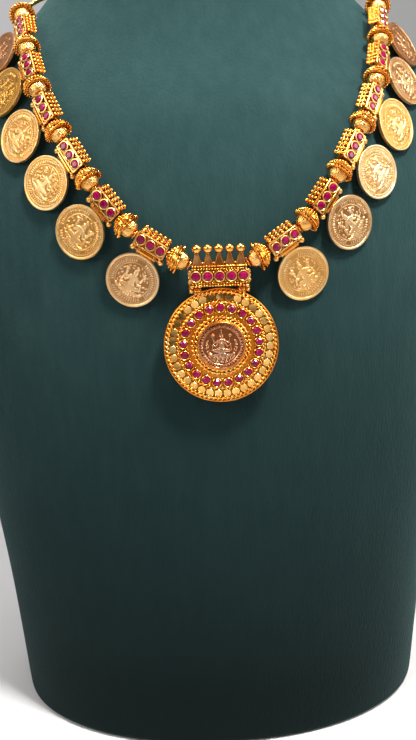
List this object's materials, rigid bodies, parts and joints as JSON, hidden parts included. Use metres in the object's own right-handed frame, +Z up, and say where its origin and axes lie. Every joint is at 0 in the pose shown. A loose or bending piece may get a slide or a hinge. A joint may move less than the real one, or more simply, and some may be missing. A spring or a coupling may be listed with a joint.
{
  "type": "temple necklace on a neck bust",
  "caption": "Necklace of coins, stone-set boxes and spacer beads with a hinged round pendant, on a velvet neck bust.",
  "frame": {"origin": "middle of the bust's flat foot", "axes": "+X across the bust to the right of someone who looks at the front, -Y out of the chest, +Z up"},
  "size_m": [0.213, 0.129, 0.34],
  "materials": {
    "velvet": "velvet",
    "gold": "polished",
    "pale_gold": "satin",
    "copper": "satin",
    "ruby": "gloss"
  },
  "bodies": {
    "necklace_and_bust": {"bust": "velvet", "crown": "gold", "crown_stones": "ruby", "setting_l1": "gold", "setting_l2": "gold", "setting_l3": "gold", "setting_l4": "gold", "setting_l5": "gold", "setting_l6": "gold", "setting_r1": "gold", "setting_r2": "gold", "setting_r3": "gold", "setting_r4": "gold", "setting_r5": "gold", "setting_r6": "gold", "stones_left": "ruby", "stones_right": "ruby", "coin_l1": "pale_gold", "coin_l2": "pale_gold", "coin_l3": "pale_gold", "coin_l4": "pale_gold", "coin_l5": "pale_gold", "coin_l6": "pale_gold", "coin_r1": "pale_gold", "coin_r2": "pale_gold", "coin_r3": "pale_gold", "coin_r4": "pale_gold", "coin_r5": "pale_gold", "coin_r6": "pale_gold", "bead_l1": "gold", "bead_l2": "gold", "bead_l3": "gold", "bead_l4": "gold", "bead_l5": "gold", "bead_l6": "gold", "bead_l7": "gold", "bead_r1": "gold", "bead_r2": "gold", "bead_r3": "gold", "bead_r4": "gold", "bead_r5": "gold", "bead_r6": "gold", "bead_r7": "gold", "thread": "gold", "back_chain_l": "gold", "back_chain_r": "gold", "clasp": "gold"},
    "pendant": {"pendant_disc": "gold", "pendant_stones": "ruby", "centre_coin": "copper"}
  },
  "joints": [
    {"name": "pendant_hinge", "type": "hinge", "parent": "necklace_and_bust", "child": "pendant", "pos_m": [0, -0.08191, 0.18535], "axis": [-1, 0, 0], "range_deg": [-4, 75]}
  ]
}
